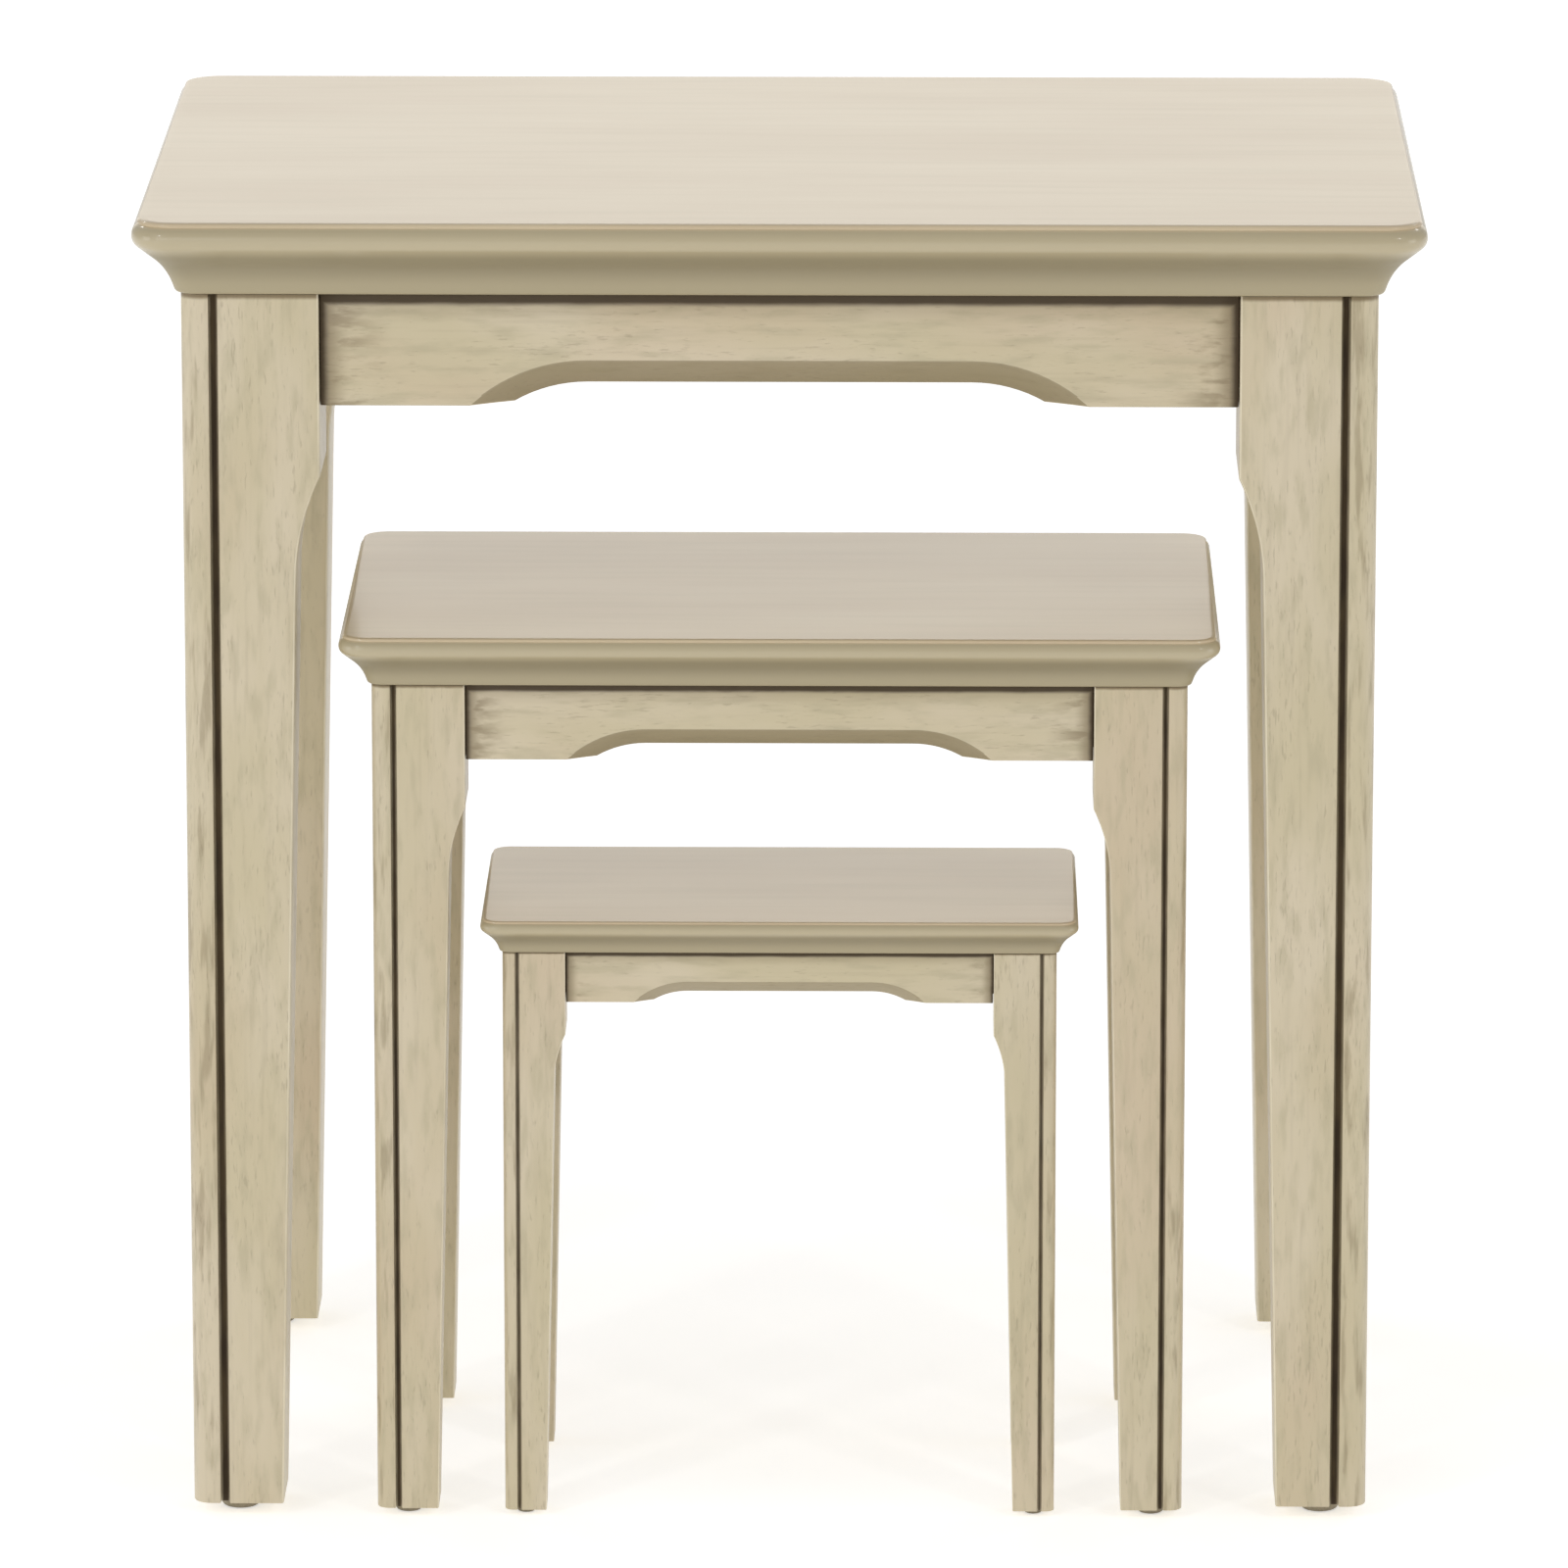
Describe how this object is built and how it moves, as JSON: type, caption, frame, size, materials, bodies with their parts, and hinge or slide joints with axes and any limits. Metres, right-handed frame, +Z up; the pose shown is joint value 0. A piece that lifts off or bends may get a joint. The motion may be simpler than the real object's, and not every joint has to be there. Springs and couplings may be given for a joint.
{
  "type": "nesting tables",
  "caption": "Nest of side tables with moulded tops, arched aprons and tapered square legs with a grooved corner bead; the smaller tables slide out from under the larger.",
  "frame": {"origin": "on the floor, under the middle of the large table", "axes": "+Z up, +X to the right along the long side, -Y towards the front, where the smaller tables pull out"},
  "size_m": [0.56, 0.385, 0.585],
  "materials": {
    "painted_top": "satin antiqued cream paint",
    "painted_frame": "satin antiqued cream paint, brown glaze in grooves and joints",
    "bare_wood": "bare sawn softwood",
    "glide_plastic": "matt moulded plastic"
  },
  "bodies": {
    "large_table": {"large_top": "painted_top", "large_apron_front": "painted_frame", "large_apron_rear": "painted_frame", "large_apron_left": "painted_frame", "large_apron_right": "painted_frame", "large_leg_front_left": "painted_frame", "large_corner_block_front_left": "bare_wood", "large_glide_front_left": "glide_plastic", "large_leg_front_right": "painted_frame", "large_corner_block_front_right": "bare_wood", "large_glide_front_right": "glide_plastic", "large_leg_rear_left": "painted_frame", "large_corner_block_rear_left": "bare_wood", "large_glide_rear_left": "glide_plastic", "large_leg_rear_right": "painted_frame", "large_corner_block_rear_right": "bare_wood", "large_glide_rear_right": "glide_plastic"},
    "medium_table": {"medium_top": "painted_top", "medium_apron_front": "painted_frame", "medium_apron_rear": "painted_frame", "medium_apron_left": "painted_frame", "medium_apron_right": "painted_frame", "medium_leg_front_left": "painted_frame", "medium_corner_block_front_left": "bare_wood", "medium_glide_front_left": "glide_plastic", "medium_leg_front_right": "painted_frame", "medium_corner_block_front_right": "bare_wood", "medium_glide_front_right": "glide_plastic", "medium_leg_rear_left": "painted_frame", "medium_corner_block_rear_left": "bare_wood", "medium_glide_rear_left": "glide_plastic", "medium_leg_rear_right": "painted_frame", "medium_corner_block_rear_right": "bare_wood", "medium_glide_rear_right": "glide_plastic"},
    "small_table": {"small_top": "painted_top", "small_apron_front": "painted_frame", "small_apron_rear": "painted_frame", "small_apron_left": "painted_frame", "small_apron_right": "painted_frame", "small_leg_front_left": "painted_frame", "small_corner_block_front_left": "bare_wood", "small_glide_front_left": "glide_plastic", "small_leg_front_right": "painted_frame", "small_corner_block_front_right": "bare_wood", "small_glide_front_right": "glide_plastic", "small_leg_rear_left": "painted_frame", "small_corner_block_rear_left": "bare_wood", "small_glide_rear_left": "glide_plastic", "small_leg_rear_right": "painted_frame", "small_corner_block_rear_right": "bare_wood", "small_glide_rear_right": "glide_plastic"}
  },
  "joints": [
    {"name": "medium_slide", "type": "slide", "parent": "large_table", "child": "medium_table", "axis": [0, -1, 0], "range_m": [-0.12, 0.3]},
    {"name": "small_slide", "type": "slide", "parent": "large_table", "child": "small_table", "axis": [0, -1, 0], "range_m": [-0.18, 0.5]}
  ]
}
